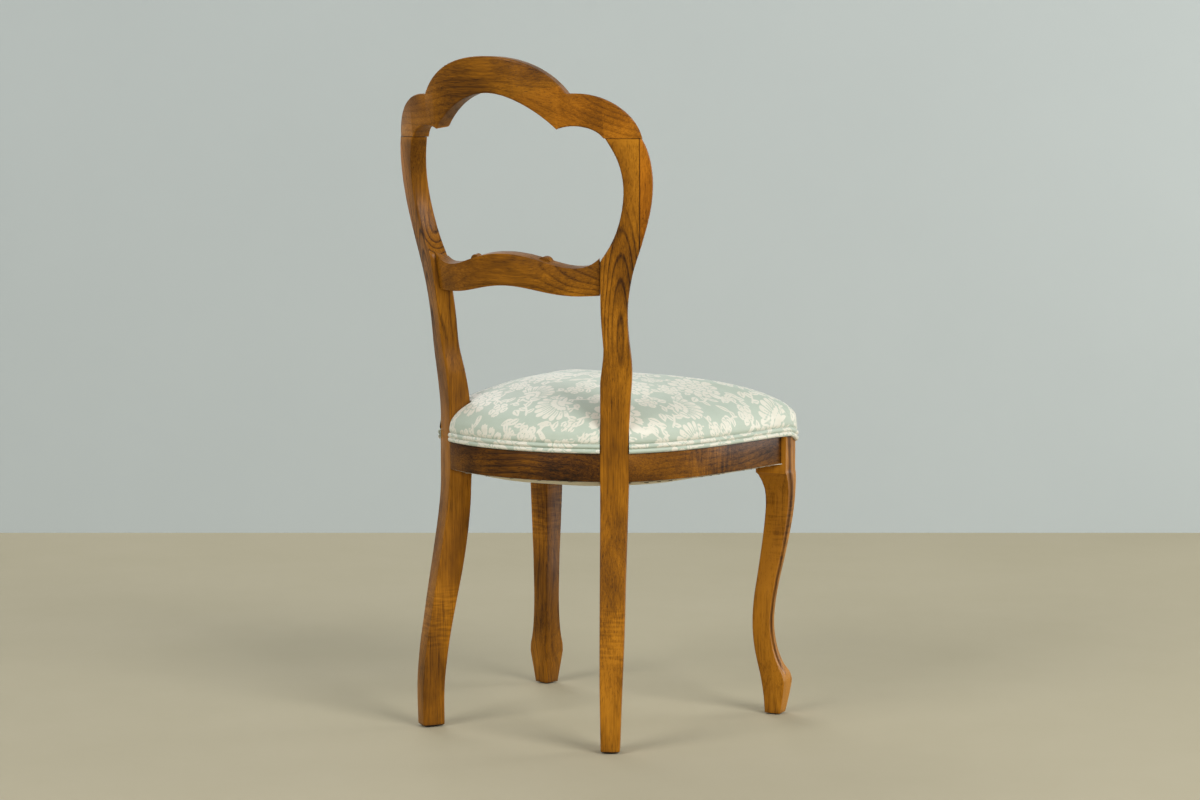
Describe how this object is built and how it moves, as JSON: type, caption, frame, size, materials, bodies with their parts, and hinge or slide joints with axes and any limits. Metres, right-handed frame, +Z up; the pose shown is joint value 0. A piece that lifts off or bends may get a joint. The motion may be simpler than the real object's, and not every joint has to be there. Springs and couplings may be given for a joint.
{
  "type": "balloon back chair",
  "caption": "Upright dining chair with an open balloon back, bowed crest and cross rail, canted sabre rear legs, cabriole front legs and a domed upholstered seat with double welt.",
  "frame": {"origin": "on the floor, under the middle of the whole chair", "axes": "+Z up, the sitter faces -Y, the chair's left side is +X"},
  "size_m": [0.4456, 0.4518, 0.9051],
  "materials": {
    "walnut": "satin shellac over warm brown walnut",
    "walnut_light": "satin shellac over lighter walnut",
    "beech": "bare beech",
    "steel": "plain bright steel",
    "jute": "woven jute webbing",
    "hessian": "open woven hessian",
    "stuffing": "curled fibre stuffing",
    "damask": "sage green cotton with a woven cream flower pattern",
    "calico": "plain cream cotton",
    "glide": "dark moulded glide"
  },
  "bodies": {
    "root": {"rear_leg_left": "walnut", "rear_leg_right": "walnut", "stile_cheek_left": "walnut_light", "stile_cheek_right": "walnut_light", "crest_rail": "walnut", "crest_shoulder_right": "walnut_light", "crest_dowels": "beech", "cross_rail": "walnut", "seat_rail_rear": "walnut", "seat_rail_left": "walnut", "seat_rail_right": "walnut", "seat_rail_front": "walnut", "seat_rail_dowels": "beech", "front_leg_dowels": "beech", "front_leg_left": "walnut", "front_leg_right": "walnut", "corner_blocks_rear": "beech", "corner_blocks_front": "beech", "corner_block_screws": "steel", "webbing_lengthwise": "jute", "webbing_crosswise": "jute", "webbing_tacks": "steel", "seat_springs": "steel", "spring_canvas": "hessian", "seat_stuffing": "stuffing", "seat_cover": "damask", "double_welt_front": "damask", "double_welt_rear": "damask", "dust_cover": "calico", "dust_cover_tacks": "steel", "foot_glides": "glide"}
  },
  "joints": []
}
